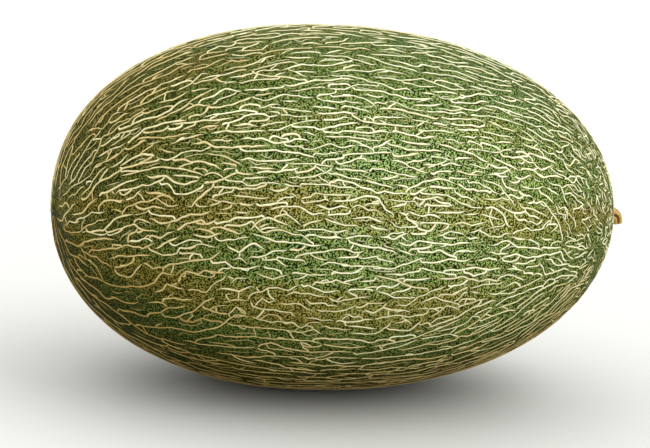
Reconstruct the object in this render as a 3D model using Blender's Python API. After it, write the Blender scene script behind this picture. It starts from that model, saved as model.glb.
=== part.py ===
"""A whole ripe melon of the long, netted, green kind, lying on its belly.

The fruit is one solid: a smooth body with its corky net raised from it, a
blossom scar at one end, a socket for the stem at the other and a small flat
rest spot underneath. The dried stub of the stem is a solid of its own.

Metres, +Z up. +X runs along the fruit towards the stem. The origin is the
middle of the rest spot.
"""

import math
import random

import bmesh
import bpy
from mathutils import Vector

# The body
FRUIT_LENGTH = 0.260
FRUIT_THICKNESS = 0.165
WIDEST_AT = 0.476  # share of the length, from the blossom end
BLOSSOM_FULLNESS = 2.19  # 2 is an ellipse, more is blunter
STEM_FULLNESS = 2.10

# The rest spot, and the oval around it where the net fades in
SPOT_DEPTH = 0.0005
BELLY_LENGTH = 0.084
BELLY_WIDTH = 0.050
BELLY_BARE = 0.75  # share of the oval that has no net at all

# The raised net: lines along the fruit, placed ring by ring
NET_LINES = 48  # halved twice on the way to each end
NET_RINGS = 48
NET_HEIGHT = 0.0010
NET_LOWEST = 0.8  # share of that height which the lowest stretches have
NET_WIDTH = 0.0030  # from foot to foot
NET_STEP = 0.0016  # how far a line steps aside from ring to ring
NET_SWAY = 0.0025  # how far all the lines bend together
LONG_WAVE = 0.121  # length of the long bends along the fruit
SHORT_WAVE = 0.057
NET_LEAN = 0.24  # share of the gap by which a line leans to one it will meet
PAIRS_JOIN = 0.036  # radius of the ring where lines join in pairs
FOURS_JOIN = 0.018  # and where the pairs join again
JOIN_SPREAD = (0.85, 1.25)  # how far those radii differ from line to line
MEET_FROM = 0.047  # radius from which two lines may meet and part again
MEET_EVERY = (8, 15)  # rings from one such meeting to the next
BREAK_EVERY = (6, 11)  # rings from one gap in a line to the next
NET_ENDS = 0.0075  # radius inside which there is no net
SEED = 11

# The blossom scar: radius of each ring, and how far it stands out
BLOSSOM_SCAR = ((0.0022, -0.0006), (0.0036, 0.0004), (0.0052, 0.0))

# The stem's socket, in the same way
SOCKET_RADIUS = 0.0050
SOCKET_DEPTH = 0.0013
STEM_SOCKET = (
    (SOCKET_RADIUS, -SOCKET_DEPTH),
    (SOCKET_RADIUS + 0.0006, 0.0007),
    (SOCKET_RADIUS + 0.0026, 0.0),
)

# The stub of the stem: length outward, height over the root, and radius
STEM_GAP = 0.0003
STEM_PATH = (
    (0.0000, -0.0002, 0.0043),
    (0.0017, -0.0002, 0.0041),
    (0.0041, -0.0004, 0.0029),
    (0.0067, -0.0021, 0.0025),
    (0.0073, -0.0048, 0.0026),
)
STEM_FLUTES = 5
FLUTE_DEPTH = 0.09  # share of the radius
FLUTE_POINTS = 6  # points along each flute
STEM_STEPS = 3  # steps between two points of the path
CUT_RIM = 0.0009
CUT_HOLLOW = 0.0008

WELD = 0.00001
AXIS_HEIGHT = FRUIT_THICKNESS / 2 - SPOT_DEPTH
BLOSSOM_REACH = FRUIT_LENGTH * WIDEST_AT
STEM_REACH = FRUIT_LENGTH - BLOSSOM_REACH

RIND_COLOUR = (0.150, 0.165, 0.040, 1.0)
STEM_COLOUR = (0.420, 0.250, 0.075, 1.0)


def clear_scene():
    """Remove every object that is already there."""
    for old in list(bpy.data.objects):
        bpy.data.objects.remove(old, do_unlink=True)


def new_collection(name):
    """Return a new collection, linked to the scene."""
    made = bpy.data.collections.new(name)
    bpy.context.scene.collection.children.link(made)
    return made


def finish_material(name, colour, roughness):
    """Return a plain material of one colour."""
    material = bpy.data.materials.new(name)
    material.use_nodes = True
    shader = material.node_tree.nodes["Principled BSDF"]
    shader.inputs["Base Color"].default_value = colour
    shader.inputs["Roughness"].default_value = roughness
    shader.inputs["Metallic"].default_value = 0.0
    return material


def body_radius(along):
    """Radius of the bare body at a distance from its widest ring."""
    reach = BLOSSOM_REACH if along < 0 else STEM_REACH
    fullness = BLOSSOM_FULLNESS if along < 0 else STEM_FULLNESS
    share = min(abs(along) / reach, 1.0)
    return FRUIT_THICKNESS / 2 * (1 - share**fullness) ** (1 / fullness)


def body_station(radius, towards_stem):
    """Distance from the widest ring at which the body has this radius."""
    reach = STEM_REACH if towards_stem else -BLOSSOM_REACH
    fullness = STEM_FULLNESS if towards_stem else BLOSSOM_FULLNESS
    share = radius / (FRUIT_THICKNESS / 2)
    return reach * (1 - share**fullness) ** (1 / fullness)


def ring_table():
    """Station, radius and end relief of each ring between the two poles."""
    rings = []
    for radius, proud in BLOSSOM_SCAR:
        rings.append((body_station(radius, False) - proud, radius))
    inner = NET_RINGS - 1 - len(BLOSSOM_SCAR) - len(STEM_SOCKET)
    first = math.pi - math.asin(BLOSSOM_SCAR[-1][0] / (FRUIT_THICKNESS / 2))
    last = math.asin(STEM_SOCKET[-1][0] / (FRUIT_THICKNESS / 2))
    for index in range(inner):
        turn = first + (last - first) * (index + 1) / (inner + 1)
        reach = STEM_REACH if math.cos(turn) > 0 else BLOSSOM_REACH
        along = reach * math.cos(turn)
        rings.append((along, body_radius(along)))
    for radius, proud in reversed(STEM_SOCKET):
        rings.append((body_station(radius, True) + proud, radius))
    return rings


def spaced_rings(draw, every, count):
    """Ring numbers at random steps, from a random start."""
    ring = draw.randint(0, every[1])
    while ring < count:
        yield ring
        ring += draw.randint(*every)


def meetings(rings):
    """For each ring, the set of lines that meet the next line there."""
    draw = random.Random(SEED)
    joined = [set() for _ in rings]
    for line in range(NET_LINES):
        for ring in spaced_rings(draw, MEET_EVERY, len(rings)):
            free = not {line - 1, (line + 1) % NET_LINES} & joined[ring]
            if free and rings[ring][1] > MEET_FROM:
                joined[ring].add(line)
    for line in range(NET_LINES):
        early = draw.uniform(*JOIN_SPREAD)
        for ring, (_, radius) in enumerate(rings):
            if line % 2 == 0 and radius < PAIRS_JOIN * early:
                joined[ring].add(line)
            if line % 4 == 1 and radius < FOURS_JOIN * early:
                joined[ring].add(line)
    return joined


def line_heights(rings):
    """Height of each line at each ring: it sinks to nothing at its gaps."""
    draw = random.Random(SEED + 1)
    heights = []
    for _ in range(NET_LINES):
        height = [NET_HEIGHT * draw.uniform(NET_LOWEST, 1.0) for _ in rings]
        for ring in spaced_rings(draw, BREAK_EVERY, len(rings)):
            height[ring] = 0.0
        for ring, (_, radius) in enumerate(rings):
            if radius < NET_ENDS:
                height[ring] = 0.0
        heights.append(height)
    return heights


def sway_at(along, angle, phase):
    """How far the lines here bend aside together."""
    long_bend = math.sin(math.tau * along / LONG_WAVE + phase + 2 * math.sin(angle))
    short_bend = math.sin(math.tau * along / SHORT_WAVE + 3 * angle)
    return NET_SWAY * (long_bend + short_bend / 2)


def lean_at(joined, ring, line):
    """Which way a line leans just before or after it meets a neighbour."""
    near = [joined[other] for other in (ring - 1, ring + 1) if 0 <= other < len(joined)]
    to_next = any(line in meeting for meeting in near)
    to_last = any((line - 1) % NET_LINES in meeting for meeting in near)
    return NET_LEAN * (to_next - to_last)


def line_angles(rings, joined):
    """Angle of each line at each ring, with the lines that meet drawn together."""
    draw = random.Random(SEED + 2)
    pitch = math.tau / NET_LINES
    phase = draw.uniform(0, math.tau)
    angles = []
    for ring, (along, _) in enumerate(rings):
        row = []
        for line in range(NET_LINES):
            middle = pitch * line
            aside = draw.uniform(-1, 1) * NET_STEP + sway_at(along, middle, phase)
            lean = pitch * lean_at(joined, ring, line)
            row.append(middle + aside / (FRUIT_THICKNESS / 2) + lean)
        angles.append(row)
    return angles


def gather(row, joined_here):
    """Give lines that meet one angle; return the groups of line numbers."""
    start = next(line for line in range(NET_LINES) if (line - 1) % NET_LINES not in joined_here)
    groups = []
    for step in range(NET_LINES):
        line = (start + step) % NET_LINES
        if groups and (line - 1) % NET_LINES in joined_here:
            groups[-1].append(line)
        else:
            groups.append([line])
    for group in groups:
        turn = [row[line] + (math.tau if line < group[0] else 0.0) for line in group]
        shared = sum(turn) / len(turn)
        for line in group:
            row[line] = shared - (math.tau if line < group[0] else 0.0)
    return groups


def net_table(rings):
    """Angle and height of the three columns of every line at every ring."""
    joined = meetings(rings)
    heights = line_heights(rings)
    angles = line_angles(rings, joined)
    table = []
    for ring, (_, radius) in enumerate(rings):
        row = angles[ring]
        groups = gather(row, joined[ring])
        columns = [None] * (3 * NET_LINES)
        for index, group in enumerate(groups):
            after = groups[(index + 1) % len(groups)]
            before = groups[index - 1]
            crest = row[group[0]]
            room_after = (row[after[0]] - crest) % math.tau
            room_before = (crest - row[before[0]]) % math.tau
            half = NET_WIDTH / 2 / radius
            height = max(heights[line][ring] for line in group)
            for line in group:
                turn = math.tau if line < group[0] else 0.0
                for side in range(3):
                    columns[3 * line + side] = [row[line] + turn, height]
            first = columns[3 * group[0]]
            first[0] -= min(half, room_before / 3)
            first[1] = 0.0
            last = columns[3 * group[-1] + 2]
            last[0] += min(half, room_after / 3)
            last[1] = 0.0
        table.append(columns)
    return table


def belly_fade(along, angle):
    """0 on the belly, where the fruit rests, and 1 outside its oval."""
    if math.cos(angle) > 0:
        return 1.0
    sideways = math.sin(angle) * FRUIT_THICKNESS / 2
    out = math.hypot(along / (BELLY_LENGTH / 2), sideways / (BELLY_WIDTH / 2))
    return min(max((out - BELLY_BARE) / (1 - BELLY_BARE), 0.0), 1.0)


def netted_body(collection):
    """The fruit's solid: a ball of rings and columns drawn out into the body."""
    rings = ring_table()
    net = net_table(rings)
    mesh = bpy.data.meshes.new("fruit")
    ball = bmesh.new()
    bmesh.ops.create_uvsphere(ball, u_segments=3 * NET_LINES, v_segments=NET_RINGS, radius=1.0)
    for vert in ball.verts:
        polar = math.acos(max(-1.0, min(1.0, vert.co.z)))
        ring = NET_RINGS - round(polar / math.pi * NET_RINGS)
        if ring == 0:
            vert.co = (body_station(0.0, False) - BLOSSOM_SCAR[0][1], 0.0, AXIS_HEIGHT)
            continue
        if ring == NET_RINGS:
            vert.co = (body_station(0.0, True) - SOCKET_DEPTH, 0.0, AXIS_HEIGHT)
            continue
        turn = math.atan2(vert.co.y, vert.co.x) / math.tau
        column = round(turn * 3 * NET_LINES) % (3 * NET_LINES)
        along, radius = rings[ring - 1]
        angle, height = net[ring - 1][column]
        radius += height * belly_fade(along, angle)
        vert.co = (along, -radius * math.sin(angle), AXIS_HEIGHT + radius * math.cos(angle))
    bmesh.ops.remove_doubles(ball, verts=ball.verts, dist=WELD)
    bmesh.ops.dissolve_degenerate(ball, edges=ball.edges, dist=WELD)
    bmesh.ops.triangulate(ball, faces=ball.faces)
    bmesh.ops.recalc_face_normals(ball, faces=ball.faces)
    ball.to_mesh(mesh)
    ball.free()
    body = bpy.data.objects.new("fruit", mesh)
    collection.objects.link(body)
    return body


def rest_cutter(collection):
    """The block below the rest spot, which cuts the belly flat."""
    mesh = bpy.data.meshes.new("rest_cutter")
    block = bmesh.new()
    bmesh.ops.create_cube(block, size=BELLY_LENGTH)
    bmesh.ops.translate(block, vec=(0.0, 0.0, -BELLY_LENGTH / 2), verts=block.verts)
    block.to_mesh(mesh)
    block.free()
    cutter = bpy.data.objects.new("rest_cutter", mesh)
    collection.objects.link(cutter)
    cutter.hide_render = True
    cutter.display_type = "WIRE"
    return cutter


def make_fruit(parts, cutters):
    """The whole fruit, cut flat where it rests."""
    fruit = netted_body(parts)
    fruit.data.materials.append(finish_material("rind", RIND_COLOUR, 0.55))
    cut = fruit.modifiers.new("rest spot", "BOOLEAN")
    cut.operation = "DIFFERENCE"
    cut.solver = "EXACT"
    cut.object = rest_cutter(cutters)
    return fruit


def fluted_outline(collection):
    """The stem's outline across: a circle of radius one with shallow flutes."""
    outline = bpy.data.curves.new("stem_outline", "CURVE")
    outline.dimensions = "2D"
    spline = outline.splines.new("POLY")
    count = STEM_FLUTES * FLUTE_POINTS
    spline.points.add(count - 1)
    for index, point in enumerate(spline.points):
        angle = math.tau * index / count
        radius = 1 + FLUTE_DEPTH * math.cos(STEM_FLUTES * angle)
        point.co = (radius * math.cos(angle), radius * math.sin(angle), 0.0, 1.0)
    spline.use_cyclic_u = True
    guide = bpy.data.objects.new("stem_outline", outline)
    collection.objects.link(guide)
    guide.hide_render = True
    guide.display_type = "WIRE"
    return guide


def stem_tube(parts, cutters):
    """The bent stub as a mesh, swept along its path with its flutes."""
    root = STEM_REACH - SOCKET_DEPTH + STEM_GAP
    path = bpy.data.curves.new("stem_path", "CURVE")
    path.dimensions = "3D"
    path.bevel_mode = "OBJECT"
    path.bevel_object = fluted_outline(cutters)
    path.use_fill_caps = False
    path.resolution_u = STEM_STEPS
    spline = path.splines.new("BEZIER")
    spline.bezier_points.add(len(STEM_PATH) - 1)
    for point, (out, up, radius) in zip(spline.bezier_points, STEM_PATH):
        point.co = (root + out, 0.0, AXIS_HEIGHT + up)
        point.radius = radius
        point.handle_left_type = "AUTO"
        point.handle_right_type = "AUTO"
    start = spline.bezier_points[0]
    start.handle_left_type = "FREE"
    start.handle_right_type = "FREE"
    start.handle_right = start.co + Vector((STEM_PATH[1][0] / 3, 0.0, 0.0))
    start.handle_left = start.co - Vector((STEM_PATH[1][0] / 3, 0.0, 0.0))
    swept = bpy.data.objects.new("stem_path", path)
    parts.objects.link(swept)
    bpy.context.view_layer.update()
    graph = bpy.context.evaluated_depsgraph_get()
    mesh = bpy.data.meshes.new_from_object(swept.evaluated_get(graph))
    mesh.name = "stem"
    bpy.data.objects.remove(swept, do_unlink=True)
    return mesh


def make_stem(parts, cutters):
    """The dried stub of the stem, hollowed a little at its cut end."""
    mesh = stem_tube(parts, cutters)
    stub = bmesh.new()
    stub.from_mesh(mesh)
    bmesh.ops.remove_doubles(stub, verts=stub.verts, dist=WELD)
    open_edges = [edge for edge in stub.edges if edge.is_boundary]
    ends = bmesh.ops.holes_fill(stub, edges=open_edges, sides=0)["faces"]
    bmesh.ops.recalc_face_normals(stub, faces=stub.faces)
    cut_end = min(ends, key=lambda face: face.calc_center_median().z)
    bmesh.ops.inset_individual(stub, faces=[cut_end], thickness=CUT_RIM)
    bmesh.ops.translate(stub, vec=cut_end.normal * -CUT_HOLLOW, verts=cut_end.verts)
    bmesh.ops.triangulate(stub, faces=stub.faces)
    stub.to_mesh(mesh)
    stub.free()
    mesh.materials.append(finish_material("stem", STEM_COLOUR, 0.8))
    mesh.shade_smooth()
    stem = bpy.data.objects.new("stem", mesh)
    parts.objects.link(stem)
    return stem


def main():
    clear_scene()
    parts = new_collection("netted_melon")
    cutters = new_collection("netted_melon_cutters")
    make_fruit(parts, cutters)
    make_stem(parts, cutters)


main()
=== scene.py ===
"""The looks of a whole netted melon that lies on its belly on a pale floor.

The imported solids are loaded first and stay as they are. A finely modelled rind
stands for the fruit's solid and a finer stub for the stem's. The corky net is
drawn strand by strand on the rind: long lines with forks and meetings, crooked
stretches in the golden bands, short strokes round the stem and faint threads.

Metres, +Z up. +X runs along the fruit towards the stem. On the body a place is
given by its distance along the fruit from the widest ring, and by the angle
round it: 0 on top, 90 degrees at the side that faces the camera.
"""

import math
import random

import bmesh
import bpy
from mathutils import Matrix, Vector, noise


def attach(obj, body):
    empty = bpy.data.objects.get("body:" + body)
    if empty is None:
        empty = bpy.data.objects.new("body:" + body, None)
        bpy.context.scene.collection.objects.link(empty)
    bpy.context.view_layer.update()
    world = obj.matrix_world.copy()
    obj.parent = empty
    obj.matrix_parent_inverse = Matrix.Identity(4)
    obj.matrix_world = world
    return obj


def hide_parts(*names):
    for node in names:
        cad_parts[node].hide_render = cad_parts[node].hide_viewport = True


bl_info = {
    "name": "Netted Melon",
    "version": (1, 0, 0),
    "blender": (4, 5, 0),
    "location": "3D View > Sidebar > Melon",
    "description": "Dresses the packed melon: rind, corky net, stem, scar and a pale studio",
    "category": "Object",
}

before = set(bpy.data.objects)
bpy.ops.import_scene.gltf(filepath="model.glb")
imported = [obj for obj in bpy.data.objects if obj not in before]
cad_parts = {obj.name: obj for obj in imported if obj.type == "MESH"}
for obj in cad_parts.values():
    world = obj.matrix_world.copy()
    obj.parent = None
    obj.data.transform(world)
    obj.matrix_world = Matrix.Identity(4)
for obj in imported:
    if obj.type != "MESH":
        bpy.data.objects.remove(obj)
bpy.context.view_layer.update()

# The body, as the solids have it
FRUIT_LENGTH = 0.260
FRUIT_THICKNESS = 0.165
WIDEST_AT = 0.476
BLOSSOM_FULLNESS = 2.19
STEM_FULLNESS = 2.10
SPOT_DEPTH = 0.0005
AXIS_HEIGHT = FRUIT_THICKNESS / 2 - SPOT_DEPTH
BLOSSOM_REACH = FRUIT_LENGTH * WIDEST_AT
STEM_REACH = FRUIT_LENGTH - BLOSSOM_REACH

# The ends: radius of each ring of relief, and how far it stands out
BLOSSOM_SCAR = ((0.0, -0.0006), (0.0022, -0.0006), (0.0036, 0.0003), (0.0052, 0.0))
STEM_SOCKET = ((0.0, -0.0013), (0.0046, -0.0013), (0.0056, 0.0006), (0.0076, 0.0))

# The stub of the stem: length outward, height over the root, and radius
STEM_ROOT = STEM_REACH - 0.0010
STEM_PATH = (
    (0.0000, -0.0002, 0.0043),
    (0.0017, -0.0002, 0.0041),
    (0.0041, -0.0004, 0.0029),
    (0.0067, -0.0021, 0.0025),
    (0.0073, -0.0048, 0.0026),
)

STEM_FLUTES = 5
FLUTE_DEPTH = 0.08  # share of the radius
STUB_COLUMNS = 80
STUB_ROWS = 48
CUT_HOLLOW = 0.0008
# Rings of the cut end: share of the radius, share of the hollow, share of cut face
CUT_RINGS = ((0.97, -0.2, 0.4), (0.86, -0.1, 1.0), (0.72, 0.6, 1.0), (0.45, 1.0, 1.0), (0.0, 0.9, 1.0))

# The corky collar round the root of the stem, and the withered blossom scar
COLLAR_RADIUS = 0.0052
COLLAR_THICKNESS = 0.0010
SCAR_RADIUS = 0.0026
SCAR_THICKNESS = 0.0006
SCAR_FOLDS = 9

# The rind's mesh and its low swellings
RIND_COLUMNS = 336
RIND_ROWS = 256
ROWS_DRAWN_IN = 0.80  # how far the rows crowd towards both ends, from 0 to 1
SWELL_SIZE = 0.030
SWELL_HEIGHT = 0.00025

# The belly, which rests on the floor: the net leaves its middle bare
BELLY_LENGTH = 0.070
BELLY_WIDTH = 0.042

# Golden bands that run along the fruit: the angle of each one's middle, its
# half-width in degrees, how far it reaches from the blossom end as a share of
# the fruit's length, and its strength
GOLD_BANDS = (
    (-6, 6, 0.80, 0.35),
    (18, 9, 0.45, 0.70),
    (48, 5, 1.00, 0.30),
    (77, 7, 1.15, 0.95),
    (108, 8, 0.85, 0.95),
    (143, 7, 0.80, 0.45),
    (176, 8, 1.00, 0.45),
    (209, 6, 0.75, 0.60),
    (238, 8, 0.65, 0.90),
    (269, 7, 0.90, 0.80),
    (300, 8, 0.70, 0.90),
    (331, 5, 0.80, 0.40),
)
BAND_WANDER = 5.0  # degrees by which a band strays to either side

# Painted light on both flanks, where more pale flecks are painted to stand for light:
# the angle of its middle and its spread in degrees, and its middle and its reach along the fruit in metres
PAINTED_LIGHT_ANGLE = 66
PAINTED_LIGHT_SPREAD = 46
PAINTED_LIGHT_MIDDLE = 0.030
PAINTED_LIGHT_REACH = 0.095
# Painted shade: how much darker the rind is painted where the painted light of the flanks
# has ended: towards the belly, the top, the blossom end and the stem
SHADE_BELOW = 0.86
SHADE_ABOVE = 0.36
SHADE_BLOSSOM = 0.46
SHADE_STEM = 0.32

# How far the lines lean off the fruit's length in places: the place along and
# the angle of each, how far it reaches both ways, and the lean, all in metres
# and degrees. The side away from the camera has the same, mirrored.
LEANS = (
    (-0.085, 118, 0.045, 32, -34),
    (0.080, 128, 0.045, 30, -24),
    (0.080, 70, 0.032, 26, 12),
    (0.122, 75, 0.020, 60, 34),
    (-0.114, 75, 0.018, 40, -20),
    (0.015, 60, 0.040, 20, 6),
    (-0.080, 88, 0.045, 34, 11),
    (-0.025, 108, 0.035, 14, 8),
)
# How much more open the net is than on the flanks: along the top, where it is
# fine, and under the blossom end
TOP_OPEN = 0.50
FINE_OPEN = 0.42
BARE_OPEN = 0.80
# Where the lines are more crooked than elsewhere, in the same way
KNOTS = (
    (-0.075, 80, 0.030, 16, 0.30),
    (0.080, 72, 0.026, 18, 0.22),
    (-0.090, 112, 0.034, 20, 0.16),
    (-0.025, 113, 0.040, 14, 0.18),
)

# A strand across: how far aside and how high each corner of its section lies,
# as shares of its half-width and of its height
STRAND_SECTION = ((1.0, -0.05), (0.14, 1.0), (-0.14, 1.0), (-1.0, -0.05), (-0.6, -0.6), (0.6, -0.6))
THREAD_SECTION = ((1.0, -0.2), (0.0, 1.0), (-1.0, -0.2), (0.0, -0.9))
STRAND_STEP = 0.0009
TAPER = 0.0042
# Widths of branches and threads as shares of a line's
BRANCH_WIDTH = 0.88
THREAD_WIDTH = 0.48

# How many places are tried as starts, and a number above any line's
FIRST_STARTS = 6
SPARE_STARTS = 5000
THREAD_TRIES = 5000
THREAD_NUMBERS = 100000

# Radius inside which there is no net, at the stem and at the blossom end
BARE_AT_STEM = 0.0085
BARE_AT_BLOSSOM = 0.0060

# The pieces that the long lines are kept in, so that none grows too large, and
# the angle from the top at which each one ends
NET_BANDS = (("net_top", 58), ("net_flanks", 100), ("net_below", 180))

MAP_MARGIN = 0.01

# The photograph's frame, and where the middle of the widest ring lies in it
PICTURE_WIDTH = 650
PICTURE_HEIGHT = 448
RING_MIDDLE_X = 322.7
RING_MIDDLE_Y = 207.2
METRES_PER_PIXEL = FRUIT_THICKNESS / 2 / 182.2
TILT = math.radians(0.92)  # how far the outline slopes down to the stem
SENSOR_WIDTH = 36.0  # millimetres
FLOOR_RADIUS = 12.0

# Where the lights stand; they are far off, so only the direction counts
RIGHT_FROM = (0.615, -0.188, 0.766)
LEFT_FROM = (-0.615, 0.188, 0.766)
BACK_FROM = (0.188, 0.615, 0.766)


def a_colour(name, description, default):
    """A setting that holds a colour."""
    return bpy.props.FloatVectorProperty(
        name=name, description=description, default=default, subtype="COLOR"
    )


def a_length(name, description, default, **limits):
    """A setting that holds a length in metres."""
    return bpy.props.FloatProperty(
        name=name,
        description=description,
        default=default,
        subtype="DISTANCE",
        unit="LENGTH",
        **limits,
    )


def an_angle(name, description, degrees):
    """A setting that holds an angle."""
    return bpy.props.FloatProperty(
        name=name, description=description, default=math.radians(degrees), subtype="ANGLE"
    )


def a_strength(name, description, default):
    """A setting that holds a light's strength."""
    return bpy.props.FloatProperty(name=name, description=description, default=default)


class MelonRindLook(bpy.types.PropertyGroup):
    """Colours and grain of the rind."""

    # Deep green is also the colour that the painted shade darkens the rind towards.
    deep_green: a_colour("Deep green", "Colour of the dark speckles", (0.004, 0.010, 0.0005))
    leaf_green: a_colour("Leaf green", "Colour between the dark speckles", (0.150, 0.235, 0.036))
    pale_green: a_colour("Pale green", "Colour of the brightest flecks", (0.480, 0.640, 0.230))
    gold: a_colour("Gold", "Colour of the flecks in the golden bands", (0.360, 0.230, 0.026))
    cool_green: a_colour(
        "Cool green", "Colour of the flecks in the cool green patches", (0.090, 0.220, 0.070)
    )
    earth: a_colour(
        "Earth brown", "Colour that the flecks turn to on the belly and the blossom end", (0.160, 0.115, 0.016)
    )
    speckle: a_length(
        "Speckle size", "Distance from one dark speckle to the next", 0.00140, min=0.0003
    )


class MelonNetLook(bpy.types.PropertyGroup):
    """Sizes and colours of the corky net."""

    spacing: a_length(
        "Line spacing", "Distance between lines where the net is even", 0.0032, min=0.002
    )
    width: a_length("Line width", "Width of a full strand from foot to foot", 0.00132, min=0.0003)
    height: a_length(
        "Line height", "How far a full strand stands out from the rind", 0.00044, max=0.0006
    )
    cream: a_colour("Cream", "Colour of fresh cork", (0.920, 0.960, 0.660))
    tan: a_colour(
        "Tan", "Colour of cork in the golden bands and towards the blossom end", (0.680, 0.540, 0.240)
    )
    ochre: a_colour("Ochre", "Colour of cork on the belly", (0.380, 0.240, 0.070))
    side: a_colour("Side", "Colour of each strand's sides", (0.300, 0.240, 0.070))
    # The dark colour at each strand's foot is painted shade where the strand meets the rind.
    painted_foot_shade: a_colour("Rim", "Colour at the foot of each strand", (0.045, 0.028, 0.004))
    seed: bpy.props.IntProperty(
        name="Pattern",
        description="Number of the pattern that the net is drawn from",
        default=7,
    )


class MelonStemLook(bpy.types.PropertyGroup):
    """Colours of the dried stub."""

    straw: a_colour("Straw", "Colour of the dried skin of the stalk", (0.600, 0.380, 0.120))
    bark: a_colour("Bark", "Colour in the stalk's furrows", (0.110, 0.050, 0.014))
    cut: a_colour("Cut end", "Colour of the cut end", (0.720, 0.330, 0.060))


class MelonStage(bpy.types.PropertyGroup):
    """The floor, the lights and the camera."""

    turn: an_angle("Turn", "How far the blossom end is turned towards the camera", 17.0)
    elevation: an_angle("Elevation", "How far the camera looks down", 15.0)
    distance: a_length(
        "Camera distance", "Distance from the camera to the middle of the fruit", 1.8
    )
    right: a_strength("Right light", "Strength of the soft light above the stem end", 1.2)
    left: a_strength("Left light", "Strength of the soft light above the blossom end", 0.65)
    back: a_strength("Back light", "Strength of the soft light above and behind the fruit", 1.0)
    softness: an_angle("Softness", "Angle that each light fills, as seen from the fruit", 60.0)
    fill: a_strength("Fill", "Strength of the even light from all round", 1.0)
    floor: a_colour("Floor", "Colour of the floor", (0.620, 0.626, 0.600))


class Signal:
    """An output socket on which arithmetic adds Math nodes."""

    def __init__(self, finish, socket):
        self.finish = finish
        self.socket = socket

    def math(self, operation, *values, clamp=False):
        """This value taken through a Math node."""
        sockets = {0: self}
        for index, value in enumerate(values):
            sockets[index + 1] = value
        settings = {"operation": operation, "use_clamp": clamp}
        return self.finish.node("ShaderNodeMath", settings, sockets)

    def reversed_math(self, operation, value):
        """A Math node with this value in its second place."""
        return self.finish.node("ShaderNodeMath", {"operation": operation}, {0: value, 1: self})

    def __add__(self, other):
        return self.math("ADD", other)

    def __radd__(self, other):
        return self.math("ADD", other)

    def __sub__(self, other):
        return self.math("SUBTRACT", other)

    def __rsub__(self, other):
        return self.reversed_math("SUBTRACT", other)

    def __mul__(self, other):
        return self.math("MULTIPLY", other)

    def __rmul__(self, other):
        return self.math("MULTIPLY", other)

    def clamped(self):
        """This value held between 0 and 1."""
        return self.math("ADD", 0.0, clamp=True)

    def step(self, low, high):
        """0 below low, 1 above high, and smooth between them."""
        settings = {"interpolation_type": "SMOOTHSTEP"}
        sockets = {"Value": self, "From Min": low, "From Max": high}
        return self.finish.node("ShaderNodeMapRange", settings, sockets)


class Finish:
    """A material whose nodes are added by calls."""

    def __init__(self, name, roughness, specular=0.3):
        self.material = bpy.data.materials.new(name)
        self.material.use_nodes = True
        self.tree = self.material.node_tree
        self.shader = self.tree.nodes["Principled BSDF"]
        self.shader.inputs["Roughness"].default_value = roughness
        self.shader.inputs["Specular IOR Level"].default_value = specular

    def node(self, kind, settings=None, sockets=None, output=0):
        """Add a node: its settings first, then the values or links of its sockets."""
        made = self.tree.nodes.new(kind)
        for name, value in (settings or {}).items():
            setattr(made, name, value)
        for name, value in (sockets or {}).items():
            self.feed(made.inputs[name], value)
        return Signal(self, made.outputs[output])

    def feed(self, socket, value):
        """Link a signal to a socket, or set the socket's own value."""
        if isinstance(value, Signal):
            self.tree.links.new(value.socket, socket)
        elif hasattr(socket.default_value, "__len__") and len(socket.default_value) == 4:
            socket.default_value = (*value[:3], 1.0)
        else:
            socket.default_value = value

    def places(self):
        """The Object coordinates."""
        return self.node("ShaderNodeTexCoord", output="Object")

    def stretched(self, places, scale):
        """Coordinates scaled along each axis."""
        return self.node("ShaderNodeMapping", {}, {"Vector": places, "Scale": scale})

    def grain(self, places, size, detail=2.0, roughness=0.5):
        """Noise with about one swell in each stretch of the given size."""
        sockets = {"Vector": places, "Scale": 1 / size, "Detail": detail, "Roughness": roughness}
        return self.node("ShaderNodeTexNoise", {}, sockets)

    def own(self, name):
        """A value painted on the piece's own mesh."""
        return self.node("ShaderNodeAttribute", {"attribute_name": name}, output="Fac")

    def mix(self, share, first, second):
        """Mix two colours."""
        settings = {"data_type": "RGBA"}
        return self.node("ShaderNodeMix", settings, {0: share, 6: first, 7: second}, output=2)

    def bump(self, height, depth, strength=1.0):
        """Feed a height to the shader's normal."""
        sockets = {"Height": height, "Distance": depth, "Strength": strength}
        self.feed(self.shader.inputs["Normal"], self.node("ShaderNodeBump", {}, sockets))

    def colour(self, value):
        """Feed the base colour."""
        self.feed(self.shader.inputs["Base Color"], value)


def body_half(along):
    """Reach and fullness of the half of the body that a place is on."""
    if along < 0:
        return BLOSSOM_REACH, BLOSSOM_FULLNESS
    return STEM_REACH, STEM_FULLNESS


def body_radius(along):
    """Radius of the bare body at a distance from its widest ring."""
    reach, fullness = body_half(along)
    share = min(abs(along) / reach, 1.0)
    return FRUIT_THICKNESS / 2 * (1 - share**fullness) ** (1 / fullness)


def body_station(radius, towards_stem):
    """Distance from the widest ring at which the body has this radius."""
    reach, fullness = body_half(1.0 if towards_stem else -1.0)
    share = min(radius / (FRUIT_THICKNESS / 2), 1.0)
    length = reach * (1 - share**fullness) ** (1 / fullness)
    return length if towards_stem else -length


def body_point(along, radius, angle):
    """A point at a radius from the fruit's long axis."""
    return Vector((along, -radius * math.sin(angle), AXIS_HEIGHT + radius * math.cos(angle)))


def body_slope(point):
    """How far a point is off the body, as a level, and that level's gradient."""
    reach, fullness = body_half(point.x)
    share = abs(point.x) / reach
    aside = Vector((0.0, point.y, point.z - AXIS_HEIGHT))
    radius = max(aside.length, 1e-6)
    out = radius / (FRUIT_THICKNESS / 2)
    level = share**fullness + out**fullness - 1
    lengthwise = math.copysign(fullness * share ** (fullness - 1) / reach, point.x)
    outward = fullness * out ** (fullness - 1) / (FRUIT_THICKNESS / 2)
    return level, Vector((lengthwise, 0.0, 0.0)) + aside / radius * outward


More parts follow.
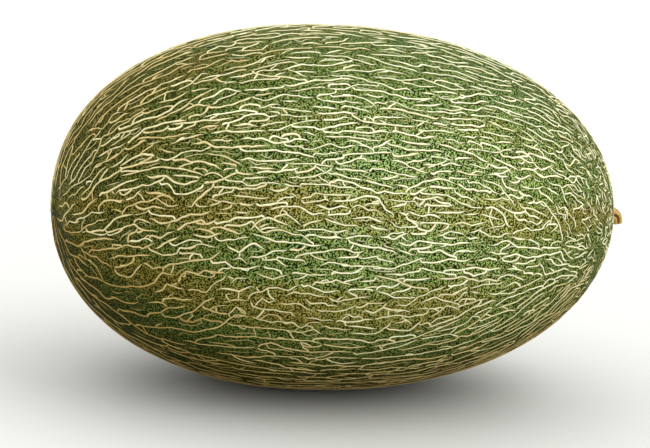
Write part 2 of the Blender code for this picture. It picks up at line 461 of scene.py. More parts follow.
def onto_body(point):
    """The point of the bare body nearest to a point that is close to it."""
    for _ in range(2):
        level, gradient = body_slope(point)
        point = point - gradient * (level / gradient.length_squared)
    return point


def outward_at(point):
    """The direction straight out of the body."""
    return body_slope(point)[1].normalized()


def angle_at(point):
    """Angle round the fruit, in degrees from 0 to 360."""
    return math.degrees(math.atan2(-point.y, point.z - AXIS_HEIGHT)) % 360


def from_top(point):
    """Angle from the fruit's top, in degrees, to either side."""
    angle = angle_at(point)
    return min(angle, 360 - angle)


def swell_at(point):
    """How far the rind's low swellings lift it here."""
    return SWELL_HEIGHT * noise.noise(point / SWELL_SIZE)


def ramp(value, low, high):
    """0 below low, 1 above high, and smooth between them."""
    share = max(0.0, min(1.0, (value - low) / (high - low)))
    return share * share * (3 - 2 * share)


def blend(first, second, share):
    """A number part of the way from one to another."""
    return first + (second - first) * share


def degrees_apart(first, second):
    """The angle from one direction round the fruit to another."""
    return abs((first - second + 180) % 360 - 180)


def gold_at(point):
    """Share of golden band at a place on the body."""
    angle = angle_at(point)
    length_share = (point.x + BLOSSOM_REACH) / FRUIT_LENGTH
    most = 0.0
    for number, (middle, half_width, reach, strength) in enumerate(GOLD_BANDS):
        if degrees_apart(angle, middle) > half_width * 2 + BAND_WANDER:
            continue
        stray = BAND_WANDER * noise.noise(Vector((point.x / 0.05, number * 7.3, 0.5)))
        across = degrees_apart(angle, middle + stray) / half_width
        patchy = 0.80 + 0.4 * noise.noise(Vector((point.x / 0.022, number * 3.1, 9.0)))
        fade = 1 - ramp(length_share, reach - 0.25, reach)
        most = max(most, strength * (1 - ramp(across, 0.35, 1.6)) * fade * patchy)
    return min(most, 1.0)


def cool_at(point):
    """Share of cool green patch: the side towards the camera, and a few more."""
    patch = noise.noise(Vector((point.x / 0.060, point.y / 0.045, point.z / 0.045 + 4.0)))
    middle = 1 - abs(point.x - 0.030) / 0.100
    upper = 1 - ramp(from_top(point), 80, 104)
    return ramp(0.70 * middle + 0.5 * patch, 0.05, 0.75) * blend(0.25, 1.0, upper)


def painted_light_share(point):
    """How pale the flecks are, as painted light: most on the flanks, a little towards the stem."""
    across = (from_top(point) - PAINTED_LIGHT_ANGLE) / PAINTED_LIGHT_SPREAD
    along = (point.x - PAINTED_LIGHT_MIDDLE) / PAINTED_LIGHT_REACH
    return math.exp(-(along**2) - across**2)


def shade_at(point):
    """Painted shade: how dark the rind is painted here, 0 on the painted light of the flanks and rising
    towards 1 away from it.
    """
    angle = from_top(point)
    light = 1 - SHADE_BELOW * ramp(angle, 92, 155)
    light *= 1 - SHADE_ABOVE * ramp(65 - angle, 0, 60)
    light *= 1 - SHADE_BLOSSOM * ramp(-point.x, 0.0, 0.115)
    light *= 1 - SHADE_STEM * ramp(point.x, 0.065, 0.135)
    return 1 - light


def blossom_share(point):
    """0 over most of the fruit, rising to 1 at the blossom end."""
    return 1 - ramp(point.x, -0.120, -0.045)


def stem_share(point):
    """0 over most of the fruit, rising to 1 at the stem end."""
    return ramp(point.x, 0.078, 0.116)


def fine_share(point):
    """How fine and open the net is: most below, towards the blossom end."""
    angle = from_top(point)
    left = 1 - ramp(point.x, -0.045, 0.045)
    below = max(ramp(angle, 80, 104) * left, ramp(angle, 100, 140))
    return max(below, 0.8 * (1 - ramp(point.x, -0.118, -0.092)))


def bare_share(point):
    """Where the net is sparse: under the blossom end."""
    return ramp(from_top(point), 100, 135) * (1 - ramp(point.x, -0.095, -0.035))


def earth_at(point):
    """How far the flecks turn to earth brown: on the belly and at the blossom end."""
    return max(0.75 * blossom_share(point), belly_share(point))


def belly_share(point):
    """0 on the upper side, rising to 1 on the underside."""
    return ramp(AXIS_HEIGHT - point.z, 0.030, 0.074)


def in_belly(point):
    """True on the bare oval where the fruit rests."""
    if point.z > AXIS_HEIGHT:
        return False
    return math.hypot(point.x / BELLY_LENGTH, point.y / BELLY_WIDTH) < 0.5


RIND_TINTS_AND_PAINTED_LIGHT = {
    "gold": gold_at,
    "cool": cool_at,
    "earth": earth_at,
    "pale": painted_light_share,
    "shade": shade_at,
}


def brown_at(point):
    """How brown the cork is here: 0 is cream, 1 is tan and 2 is ochre."""
    left = 1 - ramp(point.x, -0.125, 0.010)
    low = ramp(from_top(point), 85, 160)
    top = 1 - ramp(from_top(point), 0, 45)
    tone = left + 0.25 * gold_at(point) + 1.7 * low + 0.3 * top + 0.3 * stem_share(point)
    return tone + 0.5 * bare_share(point) - 0.15


def patches_at(point, patches):
    """Sum of soft patches at a place, and -1 or 1 for the side that it is on."""
    angle = angle_at(point)
    side = 1.0 if angle < 180 else -1.0
    angle = min(angle, 360 - angle)
    total = 0.0
    for along, middle, length, width, amount in patches:
        out = ((point.x - along) / length) ** 2 + ((angle - middle) / width) ** 2
        if out < 6:
            total += amount * math.exp(-out)
    return total, side


def lean_at(point):
    """How far the lines lean off the fruit's length here, in radians."""
    degrees, side = patches_at(point, LEANS)
    return math.radians(degrees) * side


def spacing_at(point, spacing):
    """Distance that lines keep from each other at a place."""
    gap = spacing * (1.0 + TOP_OPEN * (1 - ramp(from_top(point), 0, 45)))
    gap *= 1.0 + FINE_OPEN * fine_share(point) + BARE_OPEN * bare_share(point)
    gap *= 1.0 + 0.16 * noise.noise(point / 0.014 + Vector((3.0, 0.0, 0.0)))
    return gap * blend(1.0, 0.46, stem_share(point))


def disorder_at(point):
    """How crooked the lines are: 0 is straight along the fruit."""
    upper = ramp(point.z, AXIS_HEIGHT - 0.01, AXIS_HEIGHT + 0.05)
    top = 1 - ramp(from_top(point), 10, 50)
    base = blend(0.22, 0.18, upper) + 0.14 * gold_at(point) + 0.10 * top
    base += patches_at(point, KNOTS)[0]
    return max(0.14, base - 0.10 * belly_share(point)) + 0.30 * stem_share(point)


def longest_at(point, draw):
    """Longest run of a line from here, drawn at random for the place."""
    usual = blend(0.032, 0.020, gold_at(point))
    usual = blend(usual, 0.080, ramp(from_top(point), 95, 140))
    usual = blend(usual, 0.055, 0.6 * blossom_share(point))
    usual = blend(usual, 0.0050, stem_share(point))
    return usual * draw.uniform(0.3, 1.6)


def sway_at(point):
    """How far the lines bend aside together, from -1 to 1."""
    slow = noise.noise(point / 0.040 + Vector((0.0, 5.0, 0.0)))
    quick = noise.noise(point / 0.013 + Vector((0.0, 0.0, 8.0)))
    return slow + 0.6 * quick


class DrawnNet:
    """Places where lines run already, kept in cells so that near ones are found fast."""

    CELL = 0.0040

    def __init__(self):
        self.cells = {}

    def cell(self, point):
        """The cell that a point is in."""
        return tuple(int(part // self.CELL) for part in point)

    def add(self, line, places):
        """Remember a line's places."""
        for index, place in enumerate(places):
            self.cells.setdefault(self.cell(place), []).append((place, line, index))

    def nearest(self, point, within, skip=()):
        """Distance, place and line number of the nearest place of another line."""
        best = (within, None, None)
        reach = int(within // self.CELL) + 1
        x, y, z = self.cell(point)
        for i in range(x - reach, x + reach + 1):
            for j in range(y - reach, y + reach + 1):
                for k in range(z - reach, z + reach + 1):
                    for place, line, _ in self.cells.get((i, j, k), ()):
                        if line in skip:
                            continue
                        gap = (place - point).length
                        if gap < best[0]:
                            best = (gap, place, line)
        return best


def bearing(point, offset):
    """The direction on the body at an angle from the lengthwise one."""
    outward = outward_at(point)
    round_it = Vector((1.0, 0.0, 0.0)).cross(outward)
    if round_it.length < 1e-6:
        round_it = Vector((0.0, 1.0, 0.0))
    round_it.normalize()
    lengthwise = outward.cross(round_it)
    if lengthwise.x < 0:
        lengthwise.negate()
    return lengthwise * math.cos(offset) + round_it * math.sin(offset)


def on_net(point):
    """True where the net may run: off both ends and the belly."""
    aside = math.hypot(point.y, point.z - AXIS_HEIGHT)
    bare = BARE_AT_STEM if point.x > 0 else BARE_AT_BLOSSOM
    return aside > bare and not in_belly(point)


def trace(net, start, way, longest, draw, rules):
    """One arm of a line from a start: places, and the number of the line it met."""
    places = []
    point = start
    kink = draw.gauss(0, 1)
    kink_left = draw.uniform(0.002, 0.008)
    crinkle = 0.0
    crinkle_left = 0.0
    crinkled = draw.uniform(0.10, 0.32)
    bend = 0.0
    run = 0.0
    while run < longest:
        disorder = disorder_at(point) * rules["disorder"]
        wanted = disorder * (0.7 * sway_at(point) + 0.95 * kink) + crinkle
        bend = blend(bend, wanted, blend(0.60, 0.95, rules["fine"]))
        lean = lean_at(point) + rules["lean"] * max(0.0, 1 - run / rules["lean_fade"])
        after = onto_body(point + bearing(point, bend + lean) * (way * STRAND_STEP))
        run += STRAND_STEP
        kink_left -= STRAND_STEP
        crinkle_left -= STRAND_STEP
        if crinkle_left < 0:
            crinkle = draw.gauss(0, crinkled) * blend(1.0, 0.6, rules["fine"])
            crinkle_left = draw.uniform(0.0008, 0.0026)
        if kink_left < 0:
            kink = draw.gauss(0, 1)
            kink_left = draw.uniform(0.0020, 0.0085)
        if not on_net(after):
            break
        keep = spacing_at(after, rules["spacing"]) * rules["closest"]
        skip = rules["skip"] if run < rules["skip_run"] else ()
        _, place, met = net.nearest(after, keep, skip)
        if met is not None:
            if draw.random() < rules["meet"]:
                places.append(onto_body((point + place) / 2))
                places.append(place)
                return places, met
            break
        places.append(after)
        point = after
    return places, None


def whole_line(net, number, start, draw, rules):
    """Trace a line both ways from its start and keep it if it is long enough."""
    longest = longest_at(start, draw) * rules["length"]
    turned = draw.gauss(0, 0.06) + draw.gauss(0, 0.7) * stem_share(start)
    closest = rules["closest"] * draw.uniform(0.75, 1.35)
    rules = {**rules, "lean": turned, "lean_fade": 10.0, "closest": closest}
    rules["fine"] = fine_share(start)
    forward, met_ahead = trace(net, start, 1.0, longest / 2, draw, rules)
    back, met_behind = trace(net, start, -1.0, longest / 2, draw, rules)
    places = [*reversed(back), start, *forward]
    if len(places) < rules["fewest"]:
        return None
    net.add(number, places)
    return places, met_behind is not None, met_ahead is not None


def beside(point, gap, way):
    """The place at a distance round the fruit from a point."""
    return onto_body(point + bearing(point, math.pi / 2) * (gap * way))


def random_place(draw):
    """A place on the body, drawn evenly enough over its surface."""
    turn = math.acos(draw.uniform(-1, 1))
    reach = STEM_REACH if math.cos(turn) > 0 else BLOSSOM_REACH
    along = reach * math.cos(turn)
    return body_point(along, body_radius(along), draw.uniform(0, math.tau))


def line_rules(look, **own):
    """The usual rules for tracing a line, with a kind's own in place of some."""
    usual = {
        "spacing": look.spacing,
        "closest": 0.42,
        "disorder": 1.0,
        "meet": 0.70,
        "length": 1.0,
        "fewest": 5,
        "skip": (),
        "skip_run": 0.0,
    }
    return {**usual, **own}


def main_lines(net, look):
    """The long lines: each new one starts beside an older one, where there is room."""
    draw = random.Random(look.seed)
    rules = line_rules(look)
    lines = []
    waiting = [random_place(draw) for _ in range(FIRST_STARTS)]
    spare = [random_place(draw) for _ in range(SPARE_STARTS)]
    while waiting or spare:
        start = waiting.pop(0) if waiting else spare.pop()
        if not on_net(start):
            continue
        gap = spacing_at(start, look.spacing)
        if net.nearest(start, gap * draw.uniform(0.70, 1.0))[1] is not None:
            continue
        line = whole_line(net, len(lines), start, draw, rules)
        if line is None:
            continue
        lines.append(line)
        places = line[0]
        for index in range(0, len(places), 3):
            for way in (-1, 1):
                step = spacing_at(places[index], look.spacing) * draw.uniform(0.95, 1.15)
                waiting.append(beside(places[index], step, way))
    return lines


def branch_lines(net, lines, look):
    """Forks and cross links that leave a line at an angle and run to its neighbour."""
    draw = random.Random(look.seed + 1)
    branches = []
    for number, (places, _, _) in enumerate(lines):
        for index in range(4, len(places) - 4, 4):
            start = places[index]
            gold = gold_at(start)
            if draw.random() > 0.08 + 0.20 * gold + 0.16 * fine_share(start):
                continue
            steep = draw.random() < 0.12 + 0.30 * gold
            lean = math.radians(draw.uniform(50, 85) if steep else draw.uniform(20, 42))
            rules = line_rules(
                look,
                closest=0.32,
                fine=fine_share(start),
                lean=lean * draw.choice((-1, 1)),
                lean_fade=0.012 if steep else 0.008,
                meet=0.85,
                skip=(number,),
                skip_run=0.0045,
            )
            way = draw.choice((-1, 1))
            longest = draw.uniform(0.004, 0.011) if steep else draw.uniform(0.006, 0.018)
            arm, met = trace(net, start, way, longest, draw, rules)
            if len(arm) < 3:
                continue
            branch = [start, *arm]
            net.add(len(lines) + len(branches), branch)
            branches.append((branch, True, met is not None))
    return branches


def faint_lines(net, look):
    """Short thin threads in the gaps that the strands leave."""
    draw = random.Random(look.seed + 2)
    rules = line_rules(look, closest=0.27, disorder=1.5, meet=0.4, length=0.30, fewest=4)
    threads = []
    for index in range(THREAD_TRIES):
        start = random_place(draw)
        if not on_net(start) or draw.random() < 0.5 * gold_at(start):
            continue
        if net.nearest(start, 0.34 * spacing_at(start, look.spacing))[1] is not None:
            continue
        thread = whole_line(net, THREAD_NUMBERS + index, start, draw, rules)
        if thread is not None:
            threads.append(thread)
    return threads


def map_place(along, turn):
    """Place in the flat map: along the fruit, and round it from its underside."""
    share = math.acos(max(-1.0, min(1.0, along / (STEM_REACH if along > 0 else BLOSSOM_REACH))))
    across = 1 - share / math.pi
    return MAP_MARGIN + (1 - 2 * MAP_MARGIN) * across, MAP_MARGIN + (1 - 2 * MAP_MARGIN) * turn


def lay_map(mesh):
    """Give each face its place in a map that is unrolled from the fruit."""
    layer = mesh.loops.layers.uv.new("OFBake")
    for face in mesh.faces:
        middle = face.calc_center_median()
        home = (angle_at(middle) / 360 + 0.5) % 1
        for loop in face.loops:
            spot = loop.vert.co
            turn = (angle_at(spot) / 360 + 0.5) % 1
            if math.hypot(spot.y, spot.z - AXIS_HEIGHT) < 1e-6:
                turn = home
            if turn - home > 0.5:
                turn -= 1
            if home - turn > 0.5:
                turn += 1
            loop[layer].uv = map_place(spot.x, turn)


def keep_piece(mesh, name, finish):
    """Turn a finished bmesh into a piece that rides on the fruit."""
    data = bpy.data.meshes.new(name)
    mesh.to_mesh(data)
    mesh.free()
    data.shade_smooth()
    data.materials.append(finish.material)
    piece = bpy.data.objects.new(name, data)
    bpy.context.scene.collection.objects.link(piece)
    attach(piece, "root")
    return piece


def polar_index(vert, steps):
    """Which ring of a ball of radius one a vertex is on, from its lower pole."""
    turn = math.acos(max(-1.0, min(1.0, vert.co.z)))
    return steps - round(turn / math.pi * steps)


def column_index(vert, columns):
    """Which column of a ball a vertex is on; the quarter keeps clear of rounding."""
    share = math.atan2(vert.co.y, vert.co.x) / math.tau
    return math.floor(share * columns + 0.25) % columns


def strand_mesh(line, width, height, section, draw):
    """One strand, pointed where its end is free: a ball drawn out along its places."""
    places, joined_first, joined_last = line
    ball = bmesh.new()
    crest = ball.verts.layers.float.new("crest")
    brown = ball.verts.layers.float.new("brown")
    steps = len(places) - 1
    sides = len(section)
    bmesh.ops.create_uvsphere(ball, u_segments=sides, v_segments=steps, radius=1.0)
    tone = draw.gauss(0, 0.20)
    phase = draw.uniform(0, 100)
    frames = []
    for index, place in enumerate(places):
        before = places[max(index - 1, 0)]
        after = places[min(index + 1, steps)]
        outward = outward_at(place)
        aside = outward.cross(after - before).normalized()
        lifted = place + outward * swell_at(place)
        full = 1.0
        rough = blend(0.40, 0.20, fine_share(place))
        uneven = 1 + 0.45 * noise.noise(Vector((index * 0.22, phase, 0.0)))
        uneven += rough * noise.noise(Vector((index * 0.8, phase, 5.0)))
        for from_end, joined in ((index, joined_first), (steps - index, joined_last)):
            if joined:
                uneven += 0.15 * (1 - ramp(from_end * STRAND_STEP, 0, TAPER))
            else:
                full *= ramp(from_end * STRAND_STEP, -TAPER * 0.3, TAPER)
        frames.append((lifted, outward, aside, full, uneven, tone + brown_at(place)))
    for vert in ball.verts:
        ring = polar_index(vert, steps)
        side = column_index(vert, sides)
        lifted, outward, aside, full, uneven, tone_here = frames[ring]
        vert[brown] = tone_here
        if ring in (0, steps):
            vert.co = lifted - outward * (height * 0.25)
            vert[crest] = 0.3
            continue
        across, up = section[side]
        half = width / 2 * uneven * full
        vert.co = lifted + aside * (across * half) + outward * (up * height * full)
        vert[crest] = blend(0.45, 1.0, full) if up > 0.5 else 0.0
    return ball


def gather_strands(lines, look, share, section, seed):
    """Draw all the lines as strands in one bmesh."""
    draw = random.Random(seed)
    whole = bmesh.new()
    whole.verts.layers.float.new("crest")
    whole.verts.layers.float.new("brown")
    keeper = bpy.data.meshes.new("one strand")
    for line in lines:
        middle = line[0][len(line[0]) // 2]
        fine = fine_share(middle)
        slender = blend(1.0, 0.78, stem_share(middle)) * blend(1.0, 0.80, fine)
        width = look.width * share * slender * draw.uniform(0.70, 1.12)
        height = look.height * share * blend(1.0, 0.60, fine) * draw.uniform(0.75, 1.05)
        strand = strand_mesh(line, width, height, section, draw)
        strand.to_mesh(keeper)
        strand.free()
        whole.from_mesh(keeper)
    bpy.data.meshes.remove(keeper)
    return whole


def end_relief(point_radius, forms):
    """How far an end's own relief stands out at a distance from its middle."""
    for (inner, low), (outer, high) in zip(forms, forms[1:]):
        if point_radius <= outer:
            return blend(low, high, ramp(point_radius, inner, outer))
    return 0.0


def stub_stations():
    """Centre, direction, over and radius of each ring of the stub, and its share of cut end."""
    stations = []
    spans = len(STEM_PATH) - 1
    for index in range(STUB_ROWS + 1):
        place = stem_place(index / STUB_ROWS * spans)
        before = stem_place(max(index / STUB_ROWS * spans - 0.05, 0.0))
        after = stem_place(min(index / STUB_ROWS * spans + 0.05, spans))
        along = (after[0] - before[0]).normalized()
        over = along.cross(Vector((0.0, 1.0, 0.0)))
        stations.append((place[0], along, over, place[1], 0.0))
    root, along, over, _, _ = stations[0]
    end, end_along, end_over, end_radius, _ = stations[-1]
    stations.insert(0, (root, along, over, 0.0, 0.0))
    for share, inward, at_cut in CUT_RINGS:
        centre = end - end_along * (inward * CUT_HOLLOW)
        stations.append((centre, end_along, end_over, end_radius * share, at_cut))
    return stations


def stem_place(run):
    """Centre and radius at a run along the stem's path, on a smooth curve through its points."""
    span = min(int(run), len(STEM_PATH) - 2)
    share = run - span
    first, second = STEM_PATH[span : span + 2]
    before = STEM_PATH[max(span - 1, 0)]
    after = STEM_PATH[min(span + 2, len(STEM_PATH) - 1)]
    smooth = []
    for low, start, end, high in zip(before, first, second, after):
        curve = 2 * start + (end - low) * share
        curve += (2 * low - 5 * start + 4 * end - high) * share**2
        curve += (3 * start - low - 3 * end + high) * share**3
        smooth.append(curve / 2)
    out, up, radius = smooth
    return Vector((STEM_ROOT + out, 0.0, AXIS_HEIGHT + up)), radius


def stalk_finish(look):
    """Dried stalk: straw-coloured ridges, dark furrows and an orange cut end."""
    finish = Finish("dried_stalk", roughness=0.75, specular=0.12)
    places = finish.places()
    furrow = finish.own("furrow")
    cut = finish.own("cut")
    patch = finish.grain(places, 0.0012, detail=3.0, roughness=0.6)
    fibres = finish.grain(finish.stretched(places, (0.25, 1.0, 1.0)), 0.0003, detail=2.0)
    dark = (furrow + (patch - 0.5) * 1.4 + (fibres - 0.5) * 0.5).step(0.35, 1.0)
    skin = finish.mix(dark, look.straw, look.bark)
    finish.colour(finish.mix((cut + (patch - 0.5) * 0.4).step(0.3, 0.7), skin, look.cut))
    finish.bump(fibres + patch, depth=0.00015, strength=0.7)
    return finish


def rind_finish(look):
    """Speckled rind: green, with golden bands and cool patches, pale flecks painted as light on the flanks and
    painted shade away from them.
    """
    finish = Finish("speckled_rind", roughness=0.60, specular=0.02)
    places = finish.places()
    gold, cool, earth, pale, shade = (finish.own(name) for name in RIND_TINTS_AND_PAINTED_LIGHT)
    fine = finish.grain(places, look.speckle / 2, detail=2.0, roughness=0.5)
    coarse = finish.grain(places, look.speckle * 5, detail=2.0)
    tint = finish.grain(places, look.speckle * 1.2, detail=1.0)
    # The painted shade also darkens the speckle a little.
    level = fine - 0.03 * (coarse - 0.5) - 0.03 * shade
    wobble = (tint - 0.5) * 2.2
    ground = finish.mix((earth + 0.4 * wobble).clamped(), look.leaf_green, look.earth)
    ground = finish.mix((0.6 * cool + wobble - 0.15).clamped(), ground, look.cool_green)
    ground = finish.mix((0.04 + 0.95 * gold - wobble).clamped(), ground, look.gold)
    fleck = level.step(0.43, 0.55)
    # Painted light: more bright flecks where the painted light of the flanks lies.
    bright = level.step(0.50, 0.64) * (0.20 + 0.80 * pale)
    speckled = finish.mix(fleck, look.deep_green, ground)
    speckled = finish.mix(bright, speckled, look.pale_green)
    # Painted shade: the rind is darkened towards deep green away from the flanks.
    finish.colour(finish.mix(0.85 * shade, speckled, look.deep_green))
    finish.bump(fleck + coarse * 2.0, depth=0.00010, strength=0.6)
    return finish


def cork_finish(name, look, lightness):
    """Dry cork: cream, tan or ochre on its crest, browner on its sides, dark with painted shade at its foot.
    """
    finish = Finish(name, roughness=0.80, specular=0.05)
    places = finish.places()
    crest = finish.own("crest")
    brown = finish.own("brown")
    patch = finish.grain(places, 0.0030, detail=2.0)
    tone = brown + (patch - 0.5) * 1.2
    pale = finish.mix(tone.clamped(), look.cream, look.tan)
    pale = finish.mix((tone - 1.0).clamped(), pale, look.ochre)
    height = crest + (patch - 0.5) * 0.4
    # Painted shade: the strand's foot turns dark where it meets the rind.
    side = finish.mix(height.step(0.05, 0.35), look.painted_foot_shade, look.side)
    finish.colour(finish.mix(height.step(0.35, 0.80) * lightness, side, pale))
    crumbs = finish.grain(places, 0.0004, detail=2.0, roughness=0.6)
    finish.bump(crumbs, depth=0.00008, strength=0.5)
    return finish


class MELON_OT_rind(bpy.types.Operator):
    """Model the rind, finer than its solid, and give it its speckle, its painted light and its painted shade
    """

    bl_idname = "melon.rind"
    bl_label = "Rind"

    def execute(self, context):
        look = context.scene.melon_rind
        ball = bmesh.new()
        layers = {name: ball.verts.layers.float.new(name) for name in RIND_TINTS_AND_PAINTED_LIGHT}
        bmesh.ops.create_uvsphere(
            ball, u_segments=RIND_COLUMNS, v_segments=RIND_ROWS, radius=1.0
        )
        for vert in ball.verts:
            polar = math.acos(max(-1.0, min(1.0, vert.co.z)))
            polar -= ROWS_DRAWN_IN * math.sin(2 * polar) / 2
            angle = math.atan2(vert.co.y, vert.co.x)
            reach = STEM_REACH if vert.co.z > 0 else BLOSSOM_REACH
            along = reach * math.cos(polar)
            radius = body_radius(along)
            bare = body_point(along, radius, angle)
            forms = STEM_SOCKET if along > 0 else BLOSSOM_SCAR
            proud = swell_at(bare) + end_relief(radius, forms)
            vert.co = bare + outward_at(bare) * proud
            vert.co.z = max(vert.co.z, 0.0)
            # The layers hold the tints, the painted light of the flanks and the painted shade.
            for name, layer_at in RIND_TINTS_AND_PAINTED_LIGHT.items():
                vert[layers[name]] = layer_at(bare)
        lay_map(ball)
        bmesh.ops.recalc_face_normals(ball, faces=ball.faces)
        piece = keep_piece(ball, "rind", rind_finish(look))
        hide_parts("fruit")
        return {"FINISHED"}


class MELON_OT_net(bpy.types.Operator):
    """Draw the corky net on the rind, strand by strand"""

    bl_idname = "melon.net"
    bl_label = "Corky net"

    def execute(self, context):
        look = context.scene.melon_net
        net = DrawnNet()
        lines = main_lines(net, look)
        branches = branch_lines(net, lines, look)
        threads = faint_lines(net, look)
        cork = cork_finish("cork", look, 1.0)
        faint = cork_finish("faint_cork", look, 0.8)
        groups = []
        above = -1
        for name, below in NET_BANDS:
            band = [line for line in lines if above < from_top(line[0][0]) <= below]
            groups.append((name, band, 1.0, STRAND_SECTION, cork))
            above = below
        groups.append(("net_branches", branches, BRANCH_WIDTH, STRAND_SECTION, cork))
        groups.append(("net_threads", threads, THREAD_WIDTH, THREAD_SECTION, faint))
        for seed, (name, group, share, section, finish) in enumerate(groups):
            mesh = gather_strands(group, look, share, section, seed)
            lay_map(mesh)
            keep_piece(mesh, name, finish)
        return {"FINISHED"}


class MELON_OT_stem(bpy.types.Operator):
    """Model the dried stub of the stem and the corky collar round its root"""

    bl_idname = "melon.stem"
    bl_label = "Stem"

    def execute(self, context):
        look = context.scene.melon_stem
        stub = keep_piece(self.stub_mesh(), "stem_stub", stalk_finish(look))
        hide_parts("stem")
        net_look = context.scene.melon_net
        collar_cork = cork_finish("collar_cork", net_look, 0.85)
        keep_piece(self.collar_mesh(), "stem_collar", collar_cork)
        return {"FINISHED"}

    def stub_mesh(self):
        """The stub: a ball drawn out along the stem's path, hollow at the cut."""
        stations = stub_stations()
        steps = len(stations) - 1
        ball = bmesh.new()
        furrow = ball.verts.layers.float.new("furrow")
        cut = ball.verts.layers.float.new("cut")
        bmesh.ops.create_uvsphere(ball, u_segments=STUB_COLUMNS, v_segments=steps, radius=1.0)
        for vert in ball.verts:
            ring = polar_index(vert, steps)
            angle = math.atan2(vert.co.y, vert.co.x)
            centre, _, over, radius, at_cut = stations[ring]
            if ring in (0, steps):
                vert.co = centre
                vert[cut] = at_cut
                continue
            ridges = math.cos(STEM_FLUTES * angle)
            fibres = noise.noise(Vector((3.2 * math.cos(angle), 3.2 * math.sin(angle), ring * 0.05)))
            rough = noise.noise(centre / 0.0011 + Vector((2 * angle, 0.0, 0.0)))
            shape = 1 + FLUTE_DEPTH * ridges + 0.07 * fibres + 0.03 * rough
            side = Vector((0.0, 1.0, 0.0))
            vert.co = centre + (side * math.cos(angle) + over * math.sin(angle)) * radius * shape
            vert[furrow] = ramp(-ridges - 1.2 * fibres, -0.2, 1.0)
            vert[cut] = at_cut
        bmesh.ops.recalc_face_normals(ball, faces=ball.faces)
        return ball

    def collar_mesh(self):
        """The collar: a lumpy ring of cork round the stub's root."""
        ring = bmesh.new()
        ring.verts.layers.float.new("brown")
        crest = ring.verts.layers.float.new("crest")
        middle = Vector((body_station(COLLAR_RADIUS, True), 0.0, AXIS_HEIGHT))
        turn = Matrix.Rotation(math.pi / 2, 4, "X")
        place = Matrix.Translation(middle + Vector((0.0, 0.0, COLLAR_RADIUS))) @ turn
        bmesh.ops.create_circle(ring, segments=12, radius=COLLAR_THICKNESS, matrix=place)
        bmesh.ops.spin(
            ring,
            geom=[*ring.verts, *ring.edges],
            cent=middle,
            axis=(1.0, 0.0, 0.0),
            angle=math.tau,
            steps=90,
            use_merge=True,
        )
        for vert in ring.verts:
            out = Vector((0.0, vert.co.y, vert.co.z - AXIS_HEIGHT))
            core = middle + out.normalized() * COLLAR_RADIUS
            lump = 1 + 0.45 * noise.noise(core / 0.0016) + 0.25 * noise.noise(core / 0.0007)
            vert.co = core + (vert.co - core) * lump
            vert[crest] = 0.5 + 0.6 * noise.noise(core / 0.0010)
        bmesh.ops.recalc_face_normals(ring, faces=ring.faces)
        return ring


class MELON_OT_scar(bpy.types.Operator):
    """Model the withered scar at the blossom end"""

    bl_idname = "melon.scar"
    bl_label = "Blossom scar"

    def execute(self, context):
        ball = bmesh.new()
        ball.verts.layers.float.new("brown")
        crest = ball.verts.layers.float.new("crest")
        bmesh.ops.create_uvsphere(ball, u_segments=64, v_segments=24, radius=1.0)
        middle = body_station(0.0, False) - BLOSSOM_SCAR[0][1] + 0.0001
        for vert in ball.verts:
            angle = math.atan2(vert.co.y, vert.co.x)
            out = math.hypot(vert.co.x, vert.co.y)
            folds = math.cos(SCAR_FOLDS * angle + 2 * math.sin(2 * angle))
            radius = SCAR_RADIUS * out * (1 + 0.10 * folds)
            lift = SCAR_THICKNESS * vert.co.z * (1 + 0.5 * folds * out)
            hollow = 0.5 * SCAR_THICKNESS * (1 - out) if vert.co.z > 0 else 0.0
            centre = Vector((middle - lift + hollow, 0.0, AXIS_HEIGHT))
            vert.co = centre + Vector((0.0, math.cos(angle), math.sin(angle))) * radius
            vert[crest] = 0.35 * ramp(folds, 0.0, 1.0) * out
        bmesh.ops.reverse_faces(ball, faces=ball.faces)
        scar_cork = cork_finish("scar_cork", context.scene.melon_net, 0.5)
        keep_piece(ball, "blossom_scar", scar_cork)
        return {"FINISHED"}


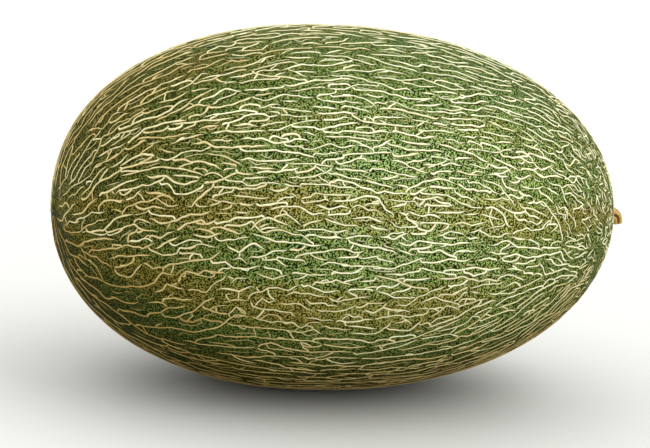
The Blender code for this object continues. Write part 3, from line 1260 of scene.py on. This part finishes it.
class MELON_OT_stage(bpy.types.Operator):
    """Set up the pale floor, the lights and the camera"""

    bl_idname = "melon.stage"
    bl_label = "Stage"

    def execute(self, context):
        stage = context.scene.melon_stage
        self.make_floor(context, stage)
        self.make_lights(context, stage)
        self.make_camera(context, stage)
        context.scene.view_settings.view_transform = "Standard"
        return {"FINISHED"}

    def make_floor(self, context, stage):
        """A wide pale floor."""
        mesh = bmesh.new()
        bmesh.ops.create_circle(mesh, cap_ends=True, segments=96, radius=FLOOR_RADIUS)
        data = bpy.data.meshes.new("floor")
        mesh.to_mesh(data)
        mesh.free()
        finish = Finish("pale_floor", roughness=0.9, specular=0.0)
        finish.colour(stage.floor)
        data.materials.append(finish.material)
        floor = bpy.data.objects.new("floor", data)
        context.scene.collection.objects.link(floor)

    def make_lights(self, context, stage):
        """Soft lights at both sides and behind, and even light from all round."""
        lights = (
            ("right light", stage.right, RIGHT_FROM),
            ("left light", stage.left, LEFT_FROM),
            ("back light", stage.back, BACK_FROM),
        )
        for name, strength, spot in lights:
            lamp = bpy.data.lights.new(name, "SUN")
            lamp.angle = stage.softness
            lamp.energy = strength
            light = bpy.data.objects.new(name, lamp)
            light.location = spot
            light.rotation_euler = (-Vector(spot)).to_track_quat("-Z", "Y").to_euler()
            context.scene.collection.objects.link(light)
        world = bpy.data.worlds.new("pale_room")
        world.use_nodes = True
        background = world.node_tree.nodes["Background"]
        background.inputs["Color"].default_value = (1.0, 1.0, 1.0, 1.0)
        background.inputs["Strength"].default_value = stage.fill
        context.scene.world = world

    def make_camera(self, context, stage):
        """A long lens at the photograph's angle, rolled as its outline slopes."""
        lens = bpy.data.cameras.new("camera")
        lens.sensor_width = SENSOR_WIDTH
        lens.lens = SENSOR_WIDTH * stage.distance / (PICTURE_WIDTH * METRES_PER_PIXEL)
        lens.clip_end = 100.0
        camera = bpy.data.objects.new("camera", lens)
        turn = stage.turn
        rise = stage.elevation
        back = Vector(
            (-math.sin(turn) * math.cos(rise), -math.cos(turn) * math.cos(rise), math.sin(rise))
        )
        roll = math.atan(math.tan(turn) * math.sin(rise)) + TILT
        right = Vector((0.0, 0.0, 1.0)).cross(back).normalized()
        over = back.cross(right)
        right.rotate(Matrix.Rotation(roll, 3, back))
        over.rotate(Matrix.Rotation(roll, 3, back))
        aside = (PICTURE_WIDTH / 2 - RING_MIDDLE_X) * METRES_PER_PIXEL
        down = (PICTURE_HEIGHT / 2 - RING_MIDDLE_Y) * METRES_PER_PIXEL
        aim = Vector((0.0, 0.0, AXIS_HEIGHT)) + right * aside - over * down
        facing = Matrix((right, over, back)).transposed().to_4x4()
        camera.matrix_world = Matrix.Translation(aim + back * stage.distance) @ facing
        context.scene.collection.objects.link(camera)
        context.scene.camera = camera


class MELON_PT_looks(bpy.types.Panel):
    """The melon's pieces and their settings"""

    bl_idname = "MELON_PT_looks"
    bl_label = "Netted Melon"
    bl_space_type = "VIEW_3D"
    bl_region_type = "UI"
    bl_category = "Melon"

    def draw(self, context):
        for name, operators in STEPS:
            box = self.layout.box()
            settings = getattr(context.scene, name)
            for setting in settings.__annotations__:
                box.prop(settings, setting)
            for operator in operators:
                box.operator(operator.bl_idname)


SETTINGS = {
    "melon_rind": MelonRindLook,
    "melon_net": MelonNetLook,
    "melon_stem": MelonStemLook,
    "melon_stage": MelonStage,
}
STEPS = (
    ("melon_rind", (MELON_OT_rind,)),
    ("melon_net", (MELON_OT_net,)),
    ("melon_stem", (MELON_OT_stem, MELON_OT_scar)),
    ("melon_stage", (MELON_OT_stage,)),
)
CLASSES = (
    *SETTINGS.values(),
    *(operator for _, operators in STEPS for operator in operators),
    MELON_PT_looks,
)


def register():
    """Register the classes and hang the settings on the scene."""
    for made in CLASSES:
        bpy.utils.register_class(made)
    for name, group in SETTINGS.items():
        setattr(bpy.types.Scene, name, bpy.props.PointerProperty(type=group))


def unregister():
    """Take the settings and the classes away again."""
    for name in SETTINGS:
        delattr(bpy.types.Scene, name)
    for made in reversed(CLASSES):
        bpy.utils.unregister_class(made)


def main():
    """Make every piece in order, then the stage."""
    register()
    for _, operators in STEPS:
        for operator in operators:
            group, name = operator.bl_idname.split(".")
            getattr(getattr(bpy.ops, group), name)()


if __name__ == "__main__":
    main()
